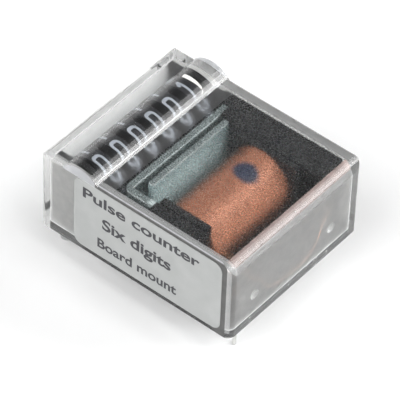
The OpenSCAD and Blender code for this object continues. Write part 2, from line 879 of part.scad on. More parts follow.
module armature() {
  color(zinc)
  difference() {
    union() {
      span([arm_x0, barrel_y0, pivot_z], [arm_x1, arm_end, arm_top]);
      span([arm_x0, arm_y0, lug_z1], [arm_x1, barrel_y0 + spare, arm_top]);
      rod_y(pivot_x, pivot_z, barrel_r, barrel_y0, arm_end);
    }
    rod_y(pivot_x, pivot_z, pivot_r + pivot_fit, arm_y0 - spare, arm_end + spare);
  }
}

module pallet_section() {
  difference() {
    translate([drum_x, -drum_z - pallet_h / 2])
      square([arm_x1 - drum_x, pallet_h]);
    translate([drum_x, -drum_z])
      circle(escape_r + pallet_gap);
    intersection() {
      translate([drum_x, -drum_z])
        circle(escape_r + pallet_gap + plate_t);
      translate([drum_x, -drum_z - fork_h / 2])
        square([wheel_r * 2, fork_h]);
    }
  }
}

module pallet_fork() {
  color([0.16, 0.16, 0.17])
  union() {
    along_y(escape_y0, fork_y1) pallet_section();
    span([fork_x0, fork_y0, fork_z0], [arm_x1, fork_y1, fork_z0 + fork_h]);
    span([fork_x0, fork_y0 - wheel_pitch / 2, fork_z0], [arm_x0 - rivet_gap, fork_y1, fork_z0 + fork_h]);
  }
}

module escape_wheel() {
  color(black)
  along_y(escape_y0, escape_y0 + escape_t)
    translate([drum_x, -drum_z])
      difference() {
        circle(escape_r);
        circle(axle_r + axle_fit);
        for (i = [0 : digits - 1])
          rotate((i + 1 / 2) * digit_step - full_turn / 4 + escape_turn)
            translate([escape_r - escape_depth, -escape_notch / 2])
              square([escape_depth + spare, escape_notch]);
      }
}

// Two driver teeth on the locking ring, for the next higher wheel
module driver_teeth(shown) {
  inner = lock_r - rim_t;
  for (side = [-1, 1])
    rotate(pinion_dir + (shown + 1 / 2) * digit_step + side * gear_step / 2)
      translate([inner, -tooth_half])
        square([driver_r - inner, 2 * tooth_half]);
}

module number_wheel(i) {
  y = wheel_y(i);
  has_gear = i > 0;
  has_driver = i < wheel_count - 1;
  root_r = gear_pitch_r - tooth_ded;
  near_side = y - hub_half;
  far_side = has_gear ? y + hub_half : escape_y0;
  color(black)
  difference() {
    union() {
      along_y(y - rim_w / 2, y + rim_w / 2)
        translate([drum_x, -drum_z])
          difference() {
            circle(wheel_r);
            circle(wheel_r - rim_t);
          }
      rod_y(drum_x, drum_z, wheel_r - rim_t / 2, y - web_t / 2, y + web_t / 2);
      rod_y(drum_x, drum_z, hub_r, near_side, far_side);
      if (has_gear) {
        rod_y(drum_x, drum_z, root_r, y, y + rim_w / 2);
        along_y(y + rim_w / 2, far_side)
          translate([drum_x, -drum_z])
            polygon(tooth_ring(gear_teeth, gear_pitch_r, gear_phase(shown_digit(i - 1))));
      }
      if (has_driver) {
        rod_y(drum_x, drum_z, lock_r, near_side, y);
        along_y(near_side, near_side + gear_w)
          translate([drum_x, -drum_z])
            driver_teeth(shown_digit(i));
      }
    }
    rod_y(drum_x, drum_z, axle_r + axle_fit, y - wheel_pitch, y + wheel_pitch);
  }
}

module wheel_units() {
  number_wheel(0);
}

module wheel_tens() {
  number_wheel(1);
}

module wheel_hundreds() {
  number_wheel(2);
}

module wheel_thousands() {
  number_wheel(3);
}

module wheel_ten_thousands() {
  number_wheel(4);
}

module wheel_hundred_thousands() {
  number_wheel(5);
}

// Pinion between wheel i and the next lower one: all teeth on the gear's side, every other tooth on the driver's
module transfer_pinion(i) {
  mid = wheel_y(i) + wheel_pitch / 2;
  split = mid - pinion_w / 2 + gear_w;
  phase = pinion_phase(shown_digit(i - 1));
  ring = tooth_ring(pinion_teeth, pinion_pitch_r, phase);
  color(black)
  difference() {
    union() {
      along_y(mid - pinion_w / 2, split)
        translate([pinion_x, -pinion_z])
          polygon(ring);
      along_y(split, mid + pinion_w / 2)
        translate([pinion_x, -pinion_z])
          for (k = [0 : 2 : pinion_teeth - 1])
            polygon(concat([[0, 0]], [for (c = [0 : 3]) ring[4 * k + c]]));
      rod_y(pinion_x, pinion_z, pinion_pitch_r - tooth_ded, mid - pinion_w / 2, mid + pinion_w / 2);
    }
    rod_y(pinion_x, pinion_z, pinion_axle_r + axle_fit, mid - pinion_w, mid + pinion_w);
  }
}

module pinion_tens() {
  transfer_pinion(1);
}

module pinion_hundreds() {
  transfer_pinion(2);
}

module pinion_thousands() {
  transfer_pinion(3);
}

module pinion_ten_thousands() {
  transfer_pinion(4);
}

module pinion_hundred_thousands() {
  transfer_pinion(5);
}

cover();
base_plate();
chassis();
label();
wheel_axle();
pinion_axle();
axle_clips();
drum_washer();
bobbin();
coil_winding();
core();
yoke();
pole_plate();
pivot_pin();
return_spring();
terminal_near();
terminal_far();
solder_near();
solder_far();
lead_near();
lead_far();
armature();
pallet_fork();
escape_wheel();
wheel_units();
wheel_tens();
wheel_hundreds();
wheel_thousands();
wheel_ten_thousands();
wheel_hundred_thousands();
pinion_tens();
pinion_hundreds();
pinion_thousands();
pinion_ten_thousands();
pinion_hundred_thousands();
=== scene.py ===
import math

import bmesh
import bpy
from mathutils import Matrix, Vector


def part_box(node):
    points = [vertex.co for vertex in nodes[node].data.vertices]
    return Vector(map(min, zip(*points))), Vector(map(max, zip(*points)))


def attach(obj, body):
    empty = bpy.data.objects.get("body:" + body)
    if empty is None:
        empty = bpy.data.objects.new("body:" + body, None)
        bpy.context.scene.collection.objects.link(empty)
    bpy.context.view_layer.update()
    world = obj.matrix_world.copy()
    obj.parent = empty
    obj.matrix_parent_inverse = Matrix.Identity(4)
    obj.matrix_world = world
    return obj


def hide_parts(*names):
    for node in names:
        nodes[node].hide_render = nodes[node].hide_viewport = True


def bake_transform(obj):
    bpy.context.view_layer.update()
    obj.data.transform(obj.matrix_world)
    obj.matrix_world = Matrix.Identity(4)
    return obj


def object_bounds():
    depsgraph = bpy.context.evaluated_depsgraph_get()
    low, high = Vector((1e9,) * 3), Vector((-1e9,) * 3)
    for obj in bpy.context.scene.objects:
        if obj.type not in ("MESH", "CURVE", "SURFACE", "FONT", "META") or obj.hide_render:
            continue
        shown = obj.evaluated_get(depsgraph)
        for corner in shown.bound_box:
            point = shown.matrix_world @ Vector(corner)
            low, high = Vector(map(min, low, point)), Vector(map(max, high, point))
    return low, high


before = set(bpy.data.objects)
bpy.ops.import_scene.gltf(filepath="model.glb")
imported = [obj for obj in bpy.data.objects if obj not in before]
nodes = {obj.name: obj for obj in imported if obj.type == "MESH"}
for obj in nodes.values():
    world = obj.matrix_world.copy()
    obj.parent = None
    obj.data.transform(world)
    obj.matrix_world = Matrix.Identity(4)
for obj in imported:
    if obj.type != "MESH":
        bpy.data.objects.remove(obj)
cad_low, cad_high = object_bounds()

MM = 0.001
scene = bpy.context.scene

# Cover, with the sizes of the part's source, in millimetres
BODY_L, BODY_W, BODY_H = 30.0, 24.8, 12.2
WALL, TOP = 1.1, 0.9
EDGE_R, COIL_EDGE_R, RIM_R, CORNER_R = 1.1, 1.8, 0.35, 0.9
INNER_R, COIL_INNER_R = 0.5, 1.0
LENS_INSET, LENS_W, LENS_RISE = 3.7, 5.3, 1.2
LENS_X = LENS_INSET + LENS_W / 2 - BODY_L / 2
PIP_Y, PIP_Z, PIP_R, PIP_DEPTH = 7.33, 3.83, 0.75, 0.55
IN_X, IN_Y, IN_Z = BODY_L / 2 - WALL, BODY_W / 2 - WALL, BODY_H - TOP

# How far a cutting solid goes past what it cuts, in millimetres
CUT_PAST = 1.0

# Places where the finish of the cover changes, in millimetres
SEAM, SKIRT, YOKE_X = 0.7, 0.85, -4.2
WINDOW_SHORT = 0.3
WINDOW_X0, WINDOW_X1 = LENS_X - LENS_W / 2, LENS_X + LENS_W / 2 - WINDOW_SHORT
LABEL_LOW, LABEL_HIGH = ([c / MM for c in corner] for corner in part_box("label"))
LINE_INSET, LINE_PAST, LINE_UNDER = 1.0, 0.7, 1.2
LINE_X0, LINE_X1 = LABEL_LOW[0] + LINE_INSET, LABEL_HIGH[0] + LINE_PAST
UNDER_X, UNDER_Z = LABEL_HIGH[0] - LINE_UNDER, LABEL_HIGH[2] - LINE_UNDER

# Limits of a face's centre, in millimetres, and of its normal, for choosing its finish
INSIDE_SLACK, LEVEL_SLACK, PIP_SLACK = 0.02, 0.01, 0.1
UNDERSIDE, UPRIGHT, FACING, RISING = -0.95, -0.3, 0.7, 0.1
LINE_DARK, LINE_LIGHT = -0.55, -0.05
END_ON = 0.9999

# Number wheels and their print, in millimetres and radians
WHEELS = ("units", "tens", "hundreds", "thousands", "ten_thousands", "hundred_thousands")
DRUM_R, DRUM_GAP, DRUM_ROOM = 4.2, 0.35, 1.46
DRUM_X, DRUM_Z = LENS_X, IN_Z - DRUM_GAP - DRUM_R
WHEEL_PITCH = 2 * (IN_Y - DRUM_ROOM) / len(WHEELS)
PRINT_PROUD = 0.02
DIGIT_STEP = math.radians(36)
DIGIT_SIZE, PEN = 1.6, 0.22
DIGIT_SHIFT, UNITS_LAG = -0.25, math.radians(7)
BAR_Y, BAR_SINK, BAR_TURN, BAR_HALF, BAR_TAPER, BAR_STEPS = 9.65, 0.1, 0.42, 0.32, 0.20, 16

# Words on the label: left and right, foot and top in millimetres, and how bold for letters of size one
WORDS = (
    ("label_words_top", "Pulse counter", (-8.1, 10.1), (9.2, 10.9), 0.025),
    ("label_words_middle", "Six digits", (-5.0, 5.75), (5.1, 7.5), 0.028),
    ("label_words_low", "Board mount", (-5.7, 6.7), (2.15, 3.75), 0.025),
)
WORDS_PROUD, WORDS_DEPTH = 0.005, 0.002

# Edges softened by a bevel, with its width in millimetres
BEVELS = {"yoke": 0.28, "armature": 0.28, "pole_plate": 0.08, "chassis": 0.08, "bobbin": 0.08}
BEVEL_ANGLE, SHARP_ANGLE = math.radians(50), math.radians(25)

# Lamps, all turned to the origin: place and size in metres, power in watts
GLARE = (0.26, 0.17)
LAMPS = (
    ("key", (-0.15, -0.45, 0.50), (0.5, 0.4), 3.2),
    ("side", (0.36, -0.02, 0.55), (0.3, 0.3), 1.9),
    ("glare_low", (0.527, 0.413, 0.340), GLARE, 1.3),
    ("glare_mid", (0.413, 0.413, 0.472), GLARE, 0.75),
    ("glare_high", (0.274, 0.413, 0.563), GLARE, 0.35),
)
FLOOR_HALF = 3.0

# Camera fitted to the photograph: place in metres, directions, lens and sensor in millimetres
EYE_PLACE = (0.20447, -0.26256, 0.34659)
EYE_BACK, EYE_RIGHT = (0.4283, -0.5501, 0.7169), (0.770, 0.6374, 0.0291)
EYE_LENS, EYE_SENSOR = 352.2, 36
EYE_CLIP = (0.01, 10)


# Nodes of the materials
FINE, COARSE = 0.02 * MM, 0.04 * MM
SPOT_EDGE = (1.15, 0.75)
PLASTIC_IOR = 1.5
COAT_ROUGH, COAT_SHINE = 0.35, 0.1


def grey(v):
    return (v, v, v)


def new_material(name):
    material = bpy.data.materials.new(name)
    material.use_nodes = True
    tree = material.node_tree
    return material, tree, tree.nodes["Principled BSDF"]


def add(tree, kind, **inputs):
    """A new node, with values for some of its inputs."""
    node = tree.nodes.new(kind)
    for socket, value in inputs.items():
        node.inputs[socket.replace("_", " ")].default_value = value
    return node


def own_place(tree):
    """Place in the object's own frame, in metres."""
    return tree.nodes.new("ShaderNodeTexCoord").outputs["Object"]


def coords(tree, scale=(1, 1, 1)):
    mapping = add(tree, "ShaderNodeMapping", Scale=scale)
    tree.links.new(own_place(tree), mapping.inputs["Vector"])
    return mapping.outputs["Vector"]


def ramp(tree, value, stops):
    node = tree.nodes.new("ShaderNodeValToRGB")
    elements = node.color_ramp.elements
    for element, (position, colour) in zip(elements, (stops[0], stops[-1])):
        element.position = position
        element.color = (*colour, 1)
    for position, colour in stops[1:-1]:
        elements.new(position).color = (*colour, 1)
    tree.links.new(value, node.inputs["Fac"])
    return node.outputs["Color"]


def two_tones(tree, value, dark, light, low=0.3, high=0.7):
    """From dark to light over the middle of a noise."""
    return ramp(tree, value, [(low, dark), (high, light)])


def rescale(tree, value, source=(0.0, 1.0), target=(0.0, 1.0)):
    """A value moved from one range to another and kept inside it."""
    node = add(
        tree, "ShaderNodeMapRange",
        From_Min=source[0], From_Max=source[1], To_Min=target[0], To_Max=target[1]
    )
    tree.links.new(value, node.inputs["Value"])
    return node.outputs["Result"]


def noise(tree, vector, scale, detail=3.0):
    node = add(tree, "ShaderNodeTexNoise", Scale=scale, Detail=detail)
    tree.links.new(vector, node.inputs["Vector"])
    return node.outputs["Fac"]


def bump(tree, shader, height, strength, distance):
    node = add(tree, "ShaderNodeBump", Strength=strength, Distance=distance)
    tree.links.new(height, node.inputs["Height"])
    tree.links.new(node.outputs["Normal"], shader.inputs["Normal"])


def along_axis(tree, axis, low, high):
    """0 to 1 from low to high along an axis of the object, in metres."""
    axes = tree.nodes.new("ShaderNodeSeparateXYZ")
    tree.links.new(own_place(tree), axes.inputs["Vector"])
    return rescale(tree, axes.outputs[axis], source=(low, high))


def times(tree, one, other):
    """Two colours multiplied."""
    node = add(tree, "ShaderNodeMix", Factor=1.0)
    node.data_type, node.blend_type = "RGBA", "MULTIPLY"
    tree.links.new(one, node.inputs["A"])
    tree.links.new(other, node.inputs["B"])
    return node.outputs["Result"]


def over(tree, mask, under, colour):
    """A colour laid over another where the mask is 1."""
    node = tree.nodes.new("ShaderNodeMix")
    node.data_type = "RGBA"
    tree.links.new(mask, node.inputs["Factor"])
    tree.links.new(under, node.inputs["A"])
    node.inputs["B"].default_value = (*colour, 1)
    return node.outputs["Result"]


def spot(tree, centre, radii, ragged):
    """1 inside an ellipsoid given in millimetres and 0 outside, with a ragged edge."""
    place = tree.nodes.new("ShaderNodeMapping")
    place.vector_type = "TEXTURE"
    place.inputs["Location"].default_value = [c * MM for c in centre]
    place.inputs["Scale"].default_value = [r * MM for r in radii]
    tree.links.new(own_place(tree), place.inputs["Vector"])
    far = tree.nodes.new("ShaderNodeVectorMath")
    far.operation = "LENGTH"
    tree.links.new(place.outputs["Vector"], far.inputs[0])
    edge = tree.nodes.new("ShaderNodeMath")
    edge.operation = "ADD"
    tree.links.new(far.outputs["Value"], edge.inputs[0])
    wander = rescale(tree, noise(tree, coords(tree), 700.0), target=(-ragged, ragged))
    tree.links.new(wander, edge.inputs[1])
    return rescale(tree, edge.outputs["Value"], source=SPOT_EDGE)


# Kinds of material
def plain(name, dark, light, rough, scale, metal=0.0, stretch=(1, 1, 1), grain=0.0, shine=0.5):
    """Two close tones over a noise, with a roughness that follows it."""
    material, tree, shader = new_material(name)
    pattern = noise(tree, coords(tree, stretch), scale)
    tree.links.new(two_tones(tree, pattern, dark, light), shader.inputs["Base Color"])
    tree.links.new(rescale(tree, pattern, target=rough), shader.inputs["Roughness"])
    shader.inputs["Metallic"].default_value = metal
    shader.inputs["Specular IOR Level"].default_value = shine
    if grain:
        bump(tree, shader, pattern, grain, FINE)
    return material


def let_lamps_in(tree, shader, tint):
    """Lamps shine through the plastic, so that what is inside is lit."""
    path = tree.nodes.new("ShaderNodeLightPath")
    mix = tree.nodes.new("ShaderNodeMixShader")
    through = add(tree, "ShaderNodeBsdfTransparent", Color=(*tint, 1))
    tree.links.new(path.outputs["Is Shadow Ray"], mix.inputs["Fac"])
    tree.links.new(shader.outputs["BSDF"], mix.inputs[1])
    tree.links.new(through.outputs["BSDF"], mix.inputs[2])
    tree.links.new(mix.outputs["Shader"], tree.nodes["Material Output"].inputs["Surface"])


def clear_plastic(
    name, dark, light, rough, through=1.0, tint=grey(0.92), scale=900.0, grain=0.0, sheen=0.0
):
    """Plastic that light goes through, with an even noise in its tone and roughness."""
    material, tree, shader = new_material(name)
    pattern = noise(tree, coords(tree), scale, detail=1.0)
    tree.links.new(two_tones(tree, pattern, dark, light, 0.35, 0.65), shader.inputs["Base Color"])
    tree.links.new(rescale(tree, pattern, target=rough), shader.inputs["Roughness"])
    shader.inputs["Transmission Weight"].default_value = through
    shader.inputs["IOR"].default_value = PLASTIC_IOR
    if sheen:
        shader.inputs["Coat Weight"].default_value = sheen
        shader.inputs["Coat Roughness"].default_value = COAT_ROUGH
        shader.inputs["Specular IOR Level"].default_value = COAT_SHINE
    if grain:
        bump(tree, shader, pattern, grain, COARSE)
    let_lamps_in(tree, shader, tint)
    return material


def glued_seam():
    """Dark glued seam with small bright bubbles."""
    material, tree, shader = new_material("glued_seam")
    cells = add(tree, "ShaderNodeTexVoronoi", Scale=900.0)
    tree.links.new(coords(tree), cells.inputs["Vector"])
    bubble, glue = (0.7, 0.7, 0.68), (0.045, 0.046, 0.046)
    specks = ramp(tree, cells.outputs["Distance"], [(0.07, bubble), (0.15, glue)])
    tree.links.new(specks, shader.inputs["Base Color"])
    pattern = noise(tree, coords(tree), 4000.0)
    tree.links.new(rescale(tree, pattern, target=(0.5, 0.8)), shader.inputs["Roughness"])
    return material


def zinc_plate(name, stops, glint=None):
    """Zinc plating with painted light and shade at heights in millimetres, and a painted highlight spot if
    one is given.
    """
    material, tree, shader = new_material(name)
    low, high = stops[0][0], stops[-1][0]
    level = along_axis(tree, "Z", low * MM, high * MM)
    tone = ramp(tree, level, [((z - low) / (high - low), colour) for z, colour in stops])
    if glint:
        tone = over(tree, spot(tree, *glint), tone, PAINTED_GLINT)
    pattern = noise(tree, coords(tree, (1, 1, 5)), 300.0)
    brushed = times(tree, tone, two_tones(tree, pattern, grey(0.84), grey(1)))
    tree.links.new(brushed, shader.inputs["Base Color"])
    tree.links.new(rescale(tree, pattern, target=(0.38, 0.5)), shader.inputs["Roughness"])
    shader.inputs["Metallic"].default_value = 0.3
    bump(tree, shader, pattern, 0.1, FINE)
    return material


def copper_winding():
    """Fine turns of enamelled wire, with painted shade: darker towards the wheels and lightest at the far
    flank, and a spot of blue varnish.
    """
    material, tree, shader = new_material("enamelled_copper_winding")
    turns = add(tree, "ShaderNodeTexWave", Scale=2600.0, Distortion=0.6)
    turns.bands_direction = "Y"
    tree.links.new(coords(tree), turns.inputs["Vector"])
    pattern = noise(tree, coords(tree, (1, 6, 1)), 260.0)
    copper = two_tones(tree, pattern, (0.513, 0.203, 0.116), (0.656, 0.274, 0.160))
    # Painted shade across the winding: dark on the flank towards the wheels, lightest at the flank away
    # from them
    low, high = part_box("coil_winding")
    flank = along_axis(tree, "X", low[0], high[0])
    shade = ramp(tree, flank, [(0.16, grey(0.14)), (0.4, grey(0.6)), (0.87, grey(0.52)), (1.0, grey(1))])
    varnish = spot(tree, *VARNISH_SPOT)
    tone = over(tree, varnish, times(tree, copper, shade), VARNISH)
    tree.links.new(tone, shader.inputs["Base Color"])
    tree.links.new(rescale(tree, varnish, target=(0.55, 0.0)), shader.inputs["Metallic"])
    tree.links.new(rescale(tree, pattern, target=(0.38, 0.5)), shader.inputs["Roughness"])
    bump(tree, shader, turns.outputs["Fac"], 0.25, COARSE)
    return material


# Finishes of the cover
CLEAR = {
    "dark": (0.97, 0.98, 0.98), "light": grey(1), "rough": (0.0, 0.03), "tint": (0.93, 0.94, 0.94)
}
FROST = {"scale": 4500.0, "grain": 0.28}
clear = clear_plastic("clear_plastic", **CLEAR)
lens_clear = clear_plastic("clear_lens", sheen=1.0, **CLEAR)
frost_top = clear_plastic(
    "frosted_top", (0.86, 0.87, 0.87), grey(0.98), (0.22, 0.325), tint=grey(0.95), **FROST
)
# Darker copy of the frosted underside, over the wheels: painted shade
frost_soft = clear_plastic(
    "frosted_over_wheels", (0.78, 0.79, 0.79), grey(0.88), (0.38, 0.46), tint=grey(0.95), **FROST
)
# Lighter copy of the frosted underside, left of the lens: painted light
frost_strip = clear_plastic(
    "frosted_strip", (0.95, 0.96, 0.96), grey(1), (0.38, 0.46), tint=grey(0.97), **FROST
)
# Painted light: a pale, partly diffuse band on the near rim and right of the label
rim_painted_light = clear_plastic("near_rim_painted_light", (0.77, 0.78, 0.78), (0.84, 0.85, 0.85), (0.15, 0.25), 0.72)
# Painted glare: pale, bluish and partly diffuse, on the lens ends and as a highlight line over the label
painted_glare = clear_plastic("painted_glare", (0.68, 0.69, 0.72), (0.76, 0.77, 0.80), (0.15, 0.25), 0.4)
# Painted reflection of the copper coil, pinkish, in the rounded inner corner at the +x end
painted_copper_reflection = clear_plastic("painted_copper_reflection", (0.33, 0.235, 0.215), (0.40, 0.285, 0.26), (0.3, 0.4), 0.55)
# Painted shade: a dark line over and beside the label
shaded = clear_plastic("shaded_rim", (0.075, 0.075, 0.073), (0.10, 0.10, 0.097), (0.3, 0.4), 0.2)
frost_wall = clear_plastic(
    "frosted_wall", (0.42, 0.42, 0.41), (0.50, 0.495, 0.48), (0.28, 0.34), 0.8, grey(0.85)
)
# Lighter copy of the frosted wall, on the near wall: painted light
near_wall = clear_plastic(
    "near_wall", (0.50, 0.50, 0.49), (0.58, 0.575, 0.56), (0.40, 0.50), 0.55, grey(0.85)
)
# Pale copy of the frosted wall at the -x end, painted light, also used for a pale band above the seam
pale_wall = clear_plastic("pale_wall", (0.92, 0.92, 0.91), (0.97, 0.97, 0.96), (0.55, 0.75), 0.3)
# Paler copy of the frosted wall on the snap pips: painted highlights
pip_painted_highlight = clear_plastic(
    "pip_painted_highlight", (0.50, 0.50, 0.49), (0.57, 0.57, 0.56), (0.6, 0.7), 0.4, grey(0.9)
)
seam = glued_seam()
COVER_FINISHES = (
    clear, frost_top, frost_wall, pip_painted_highlight, pale_wall, seam, near_wall,
    lens_clear, frost_soft, rim_painted_light, painted_copper_reflection, shaded, painted_glare, frost_strip,
)

# Plastics of the works
smoke = clear_plastic(
    "smoke_plastic", (0.42, 0.43, 0.43), (0.5, 0.51, 0.51), (0.25, 0.4), 0.6, grey(0.6)
)
black = plain(
    "black_plastic", (0.006, 0.006, 0.007), grey(0.013), (0.42, 0.6), 700.0, grain=0.15, shine=0.25
)
wheel_black = plain("wheel_plastic", (0.007, 0.007, 0.009), (0.014, 0.014, 0.017), (0.35, 0.5), 900.0)

# Metals, with the heights of the zinc's painted light and shade and the place of its painted highlight in
# millimetres
# Painted shade on the zinc's flat tops, on the yoke below its top edge and at the armature's foot and top;
# painted highlights on the bevelled edges and the middle of the armature's face
TOP_PAINTED_SHADE, EDGE_PAINTED_HIGHLIGHT, SHADED = (0.15, 0.175, 0.175), (0.85, 0.92, 0.92), (0.10, 0.125, 0.125)
FOOT_PAINTED_SHADE, FACE_PAINTED_LIGHT, MIDDLE_PAINTED_LIGHT, UPPER_PAINTED_SHADE = (0.12, 0.14, 0.14), (0.80, 0.98, 0.98), (0.80, 1.0, 1.0), (0.31, 0.41, 0.42)
YOKE_PAINTED_SHADING = [(10.40, SHADED), (10.58, SHADED), (10.63, EDGE_PAINTED_HIGHLIGHT), (10.85, EDGE_PAINTED_HIGHLIGHT), (10.885, TOP_PAINTED_SHADE)]
ARMATURE_PAINTED_SHADING = [
    (4.0, FOOT_PAINTED_SHADE), (5.6, FACE_PAINTED_LIGHT), (7.6, MIDDLE_PAINTED_LIGHT), (10.38, UPPER_PAINTED_SHADE),
    (10.43, EDGE_PAINTED_HIGHLIGHT), (10.65, EDGE_PAINTED_HIGHLIGHT), (10.685, TOP_PAINTED_SHADE),
]
# Painted highlight near the end of the yoke's near leg, a brighter spot on the dark top
PAINTED_GLINT, PAINTED_GLINT_SPOT = (0.46, 0.52, 0.52), ((0.25, -9.35, 10.8), (0.65, 0.8, 0.6), 0.1)
zinc = plain("zinc_plain", (0.40, 0.47, 0.48), (0.50, 0.57, 0.58), (0.38, 0.5), 300.0, metal=0.3)
yoke_zinc_painted_shading = zinc_plate("yoke_zinc_painted_shading", YOKE_PAINTED_SHADING, PAINTED_GLINT_SPOT)
armature_zinc_painted_shading = zinc_plate("armature_zinc_painted_shading", ARMATURE_PAINTED_SHADING)
steel = plain(
    "bright_steel", (0.52, 0.53, 0.55), (0.66, 0.67, 0.69), (0.22, 0.34), 500.0,
    metal=1.0, stretch=(1, 8, 1)
)
tin = plain("tinned_pin", (0.58, 0.58, 0.56), (0.72, 0.72, 0.70), (0.25, 0.4), 900.0, metal=1.0)

# Label, print and copper, with the place of the varnish in millimetres
film = plain("label_film", (0.38, 0.39, 0.385), (0.43, 0.44, 0.435), (0.45, 0.6), 350.0, grain=0.05)
white = plain("digit_white", (0.25, 0.27, 0.30), (0.31, 0.33, 0.365), (0.5, 0.65), 1500.0)
bar_white = plain("bar_white", (0.84, 0.83, 0.78), (0.90, 0.89, 0.85), (0.5, 0.6), 1500.0)
ink = plain("label_ink", (0.030, 0.030, 0.036), (0.055, 0.055, 0.062), (0.5, 0.65), 1200.0)
wire = plain("lead_wire", (0.72, 0.38, 0.22), (0.85, 0.48, 0.30), (0.3, 0.42), 900.0, metal=0.3)
VARNISH, VARNISH_SPOT = (0.012, 0.016, 0.035), ((5.3, 2.1, 10.9), (1.9, 1.6, 1.5), 0.25)
winding = copper_winding()

# Materials and soft edges of the CAD nodes, where those that aren't named have the plastic of the wheels
PAINT = {
    "base_plate": smoke, "chassis": black, "label": film, "wheel_axle": steel, "pinion_axle": steel,
    "axle_clips": steel, "drum_washer": steel, "bobbin": black, "coil_winding": winding, "core": zinc,
    "yoke": yoke_zinc_painted_shading, "pole_plate": zinc, "pivot_pin": steel, "return_spring": steel,
    "terminal_near": tin, "terminal_far": tin, "solder_near": tin, "solder_far": tin,
    "lead_near": wire, "lead_far": wire, "armature": armature_zinc_painted_shading, "pallet_fork": black, "cover": clear,
}
for name, node in nodes.items():
    node.data.materials.clear()
    node.data.materials.append(PAINT.get(name, wheel_black))
for name, width in BEVELS.items():
    bevel = nodes[name].modifiers.new("soft_edges", "BEVEL")
    bevel.width, bevel.segments = width * MM, 2
    bevel.limit_method, bevel.angle_limit = "ANGLE", BEVEL_ANGLE


# Outlines and solids
def mesh_object(name, verts, faces):
    mesh = bpy.data.meshes.new(name)
    mesh.from_pydata(verts, [], faces)
    mesh.validate()
    o = bpy.data.objects.new(name, mesh)
    scene.collection.objects.link(o)
    return o


def strip_faces(count, first=0):
    """Faces between pairs of points that follow each other along a strip."""
    starts = range(first, first + 2 * count, 2)
    return [(k, k + 1, k + 3, k + 2) for k in starts]


def face_outward(mesh, weld=0.0):
    """Turns all faces outward, after joining points that lie closer than weld."""
    edit = bmesh.new()
    edit.from_mesh(mesh)
    if weld:
        bmesh.ops.remove_doubles(edit, verts=edit.verts, dist=weld)
    bmesh.ops.recalc_face_normals(edit, faces=edit.faces)
    edit.to_mesh(mesh)
    edit.free()


def arc(cx, cy, rx, ry, start, end, steps=28):
    """Points along an ellipse between two angles in degrees."""
    angles = [math.radians(start + (end - start) * i / steps) for i in range(steps + 1)]
    return [(cx + rx * math.cos(a), cy + ry * math.sin(a)) for a in angles]


def round_top(length, height, left_r, right_r, foot=0.0, steps=12):
    """Side view with round upper corners, anticlockwise."""
    half = length / 2
    right = arc(half - right_r, height - right_r, right_r, right_r, 0, 90, steps)
    left = arc(left_r - half, height - left_r, left_r, left_r, 90, 180, steps)
    return [(-half, foot), (half, foot)] + right + left


def round_rect(length, width, r, steps=10):
    """Plan with four round corners, anticlockwise."""
    outline = []
    for k, (sx, sy) in enumerate(((1, 1), (-1, 1), (-1, -1), (1, -1))):
        outline += arc(sx * (length / 2 - r), sy * (width / 2 - r), r, r, 90 * k, 90 * (k + 1), steps)
    return outline


def across(a, b, c):
    """For a side view, carried along y."""
    return (a, c, b)


def along(a, b, c):
    """For an end view, carried along x."""
    return (c, a, b)


def upward(a, b, c):
    """For a plan, carried along z."""
    return (a, b, c)


def prism(name, outline, low, high, place):
    """Outline carried from low to high. place turns (a, b, c) into a point."""
    n = len(outline)
    verts = [place(a, b, low) for a, b in outline] + [place(a, b, high) for a, b in outline]
    faces = [tuple(range(n))[::-1], tuple(range(n, 2 * n))]
    faces += [(i, (i + 1) % n, n + (i + 1) % n, n + i) for i in range(n)]
    o = mesh_object(name, verts, faces)
    face_outward(o.data)
    return o


def sphere(name, centre, r, rings=16, sides=32):
    """Ball with its poles along x."""
    verts, faces = [], []
    for i in range(rings + 1):
        for k in range(sides):
            a, p = math.pi * i / rings, 2 * math.pi * k / sides
            verts.append((
                centre[0] + r * math.cos(a),
                centre[1] + r * math.sin(a) * math.cos(p),
                centre[2] + r * math.sin(a) * math.sin(p),
            ))
    for i in range(rings):
        for k in range(sides):
            n = (k + 1) % sides
            faces.append((i * sides + k, (i + 1) * sides + k, (i + 1) * sides + n, i * sides + n))
    o = mesh_object(name, verts, faces)
    face_outward(o.data, weld=1e-5)
    return o


def combine(base, steps):
    """Boolean steps on base, one after the other. The tools are removed."""
    for kind, tool in steps:
        boolean = base.modifiers.new(kind, "BOOLEAN")
        boolean.operation, boolean.solver, boolean.object = kind, "EXACT", tool
        graph = bpy.context.evaluated_depsgraph_get()
        mesh = bpy.data.meshes.new_from_object(base.evaluated_get(graph))
        base.modifiers.clear()
        old, base.data = base.data, mesh
        bpy.data.meshes.remove(old)
        bpy.data.objects.remove(tool)


# Cover, made in millimetres and then scaled
def lens_outline():
    """Bow of the lens, down to the middle of the top."""
    r = ((LENS_W / 2) ** 2 + LENS_RISE**2) / (2 * LENS_RISE)
    middle_z = BODY_H + LENS_RISE - r
    foot_z = BODY_H - TOP / 2
    half = math.degrees(math.acos((foot_z - middle_z) / r))
    return arc(LENS_X, middle_z, r, r, 90 - half, 90 + half, steps=48)


